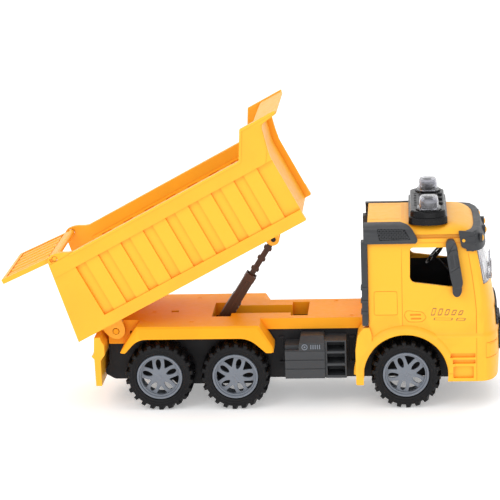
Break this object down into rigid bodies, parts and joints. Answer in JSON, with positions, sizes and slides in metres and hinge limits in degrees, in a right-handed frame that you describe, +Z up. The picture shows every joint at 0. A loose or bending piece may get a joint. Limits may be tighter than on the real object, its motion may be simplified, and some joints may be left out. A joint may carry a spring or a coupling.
{
  "type": "toy dump truck",
  "caption": "Toy dump truck with a tipping ribbed bed, swinging tailgate, extending ram, friction-drive axle and a cab with a beacon light bar",
  "frame": {"origin": "centre of the bounding box on the ground plane under the wheels, in the rest pose with the bed raised and the tailgate open", "axes": "+X forward to the cab, +Y to the left side of the truck, +Z up"},
  "size_m": [0.3451, 0.092, 0.2105],
  "materials": {
    "body_yellow": "satin gloss moulded yellow",
    "deck_yellow": "satin moulded yellow",
    "chassis_black": "satin black",
    "tyre_black": "matt black",
    "trim_grey": "satin dark grey",
    "rim_grey": "satin grey",
    "ram_brown": "satin dark brown",
    "gloss_black": "high gloss",
    "clear_plastic": "clear",
    "steel": "bright",
    "gear_white": "natural white",
    "board_green": "solder mask",
    "flywheel_zinc": "cast"
  },
  "bodies": {
    "truck": {"battery_door": "chassis_black", "battery_screw": "steel", "beacon_led_left": "clear_plastic", "beacon_led_right": "clear_plastic", "beacon_left": "clear_plastic", "beacon_right": "clear_plastic", "bed_hinge_pin": "deck_yellow", "button_cell_1": "steel", "button_cell_2": "steel", "button_cell_3": "steel", "cab_shell": "body_yellow", "chassis": "chassis_black", "circuit_board": "board_green", "deck": "deck_yellow", "front_grille": "chassis_black", "interior": "chassis_black", "light_bar": "gloss_black", "mirror_left": "trim_grey", "mirror_right": "trim_grey", "motor_case": "gear_white", "motor_lid": "gear_white", "rear_bumper": "body_yellow", "roof_visor": "trim_grey", "side_box_left": "trim_grey", "side_box_right": "trim_grey", "side_fairing_left": "trim_grey", "side_fairing_right": "trim_grey", "speaker": "steel", "steering_wheel": "chassis_black", "visor_lamp_1": "body_yellow", "visor_lamp_2": "body_yellow", "visor_lamp_3": "body_yellow", "visor_lamp_4": "body_yellow", "windshield": "clear_plastic"},
    "bed": {"dump_bed": "body_yellow"},
    "tailgate_panel": {"tailgate": "body_yellow"},
    "ram_tube": {"ram_barrel": "ram_brown"},
    "ram_stem": {"ram_rod": "ram_brown"},
    "front_wheels": {"front_axle": "steel", "front_tyre_left": "tyre_black", "front_tyre_right": "tyre_black", "front_rim_left": "rim_grey", "front_rim_right": "rim_grey"},
    "middle_wheels": {"middle_axle": "steel", "middle_tyre_left": "tyre_black", "middle_tyre_right": "tyre_black", "middle_rim_left": "rim_grey", "middle_rim_right": "rim_grey", "axle_gear": "gear_white"},
    "rear_wheels": {"rear_axle": "steel", "rear_tyre_left": "tyre_black", "rear_tyre_right": "tyre_black", "rear_rim_left": "rim_grey", "rear_rim_right": "rim_grey"},
    "idler": {"idler_gear": "gear_white"},
    "spinner": {"flywheel": "flywheel_zinc", "flywheel_shaft": "steel"},
    "button_right": {"sound_button_1": "chassis_black"},
    "button_middle": {"sound_button_2": "chassis_black"},
    "button_left": {"sound_button_3": "chassis_black"}
  },
  "joints": [
    {"name": "bed_tip", "type": "hinge", "parent": "truck", "child": "bed", "pos_m": [-0.09545, 0, 0.054], "axis": [0, -1, 0], "range_deg": [-27.8, 2.2]},
    {"name": "tailgate_swing", "type": "hinge", "parent": "bed", "child": "tailgate_panel", "pos_m": [-0.13348, 0, 0.11026], "axis": [0, 1, 0], "range_deg": [-83.3, 25]},
    {"name": "ram_swing", "type": "hinge", "parent": "truck", "child": "ram_tube", "pos_m": [-0.02665, 0, 0.047], "axis": [0, -1, 0], "range_deg": [-47.5, 3.9]},
    {"name": "ram_extend", "type": "slide", "parent": "ram_tube", "child": "ram_stem", "axis": [0.5402, 0, 0.8415], "range_m": [-0.0228, 0.0019]},
    {"name": "front_axle_spin", "type": "hinge", "parent": "truck", "child": "front_wheels", "pos_m": [0.10605, 0, 0.02406], "axis": [0, 1, 0], "continuous": true},
    {"name": "middle_axle_spin", "type": "hinge", "parent": "truck", "child": "middle_wheels", "pos_m": [-0.01195, 0, 0.02406], "axis": [0, 1, 0], "continuous": true},
    {"name": "rear_axle_spin", "type": "hinge", "parent": "truck", "child": "rear_wheels", "pos_m": [-0.06475, 0, 0.02406], "axis": [0, 1, 0], "continuous": true},
    {"name": "idler_spin", "type": "hinge", "parent": "truck", "child": "idler", "pos_m": [-0.02214, 0, 0.02556], "axis": [0, 1, 0], "continuous": true},
    {"name": "flywheel_spin", "type": "hinge", "parent": "truck", "child": "spinner", "pos_m": [-0.03314, 0, 0.02636], "axis": [0, 1, 0], "continuous": true},
    {"name": "right_button_press", "type": "slide", "parent": "truck", "child": "button_right", "axis": [0, 0, -1], "range_m": [0, 0.0008], "stiffness_N_per_m": 400, "springref_m": -0.001},
    {"name": "middle_button_press", "type": "slide", "parent": "truck", "child": "button_middle", "axis": [0, 0, -1], "range_m": [0, 0.0008], "stiffness_N_per_m": 400, "springref_m": -0.001},
    {"name": "left_button_press", "type": "slide", "parent": "truck", "child": "button_left", "axis": [0, 0, -1], "range_m": [0, 0.0008], "stiffness_N_per_m": 400, "springref_m": -0.001}
  ],
  "couplings": [
    {"joint": "ram_swing", "follows": "bed_tip", "ratio": 1.7},
    {"joint": "ram_extend", "follows": "bed_tip", "m_per_rad": 0.0466},
    {"joint": "idler_spin", "follows": "middle_axle_spin", "ratio": -2},
    {"joint": "flywheel_spin", "follows": "middle_axle_spin", "ratio": 4.4444}
  ]
}
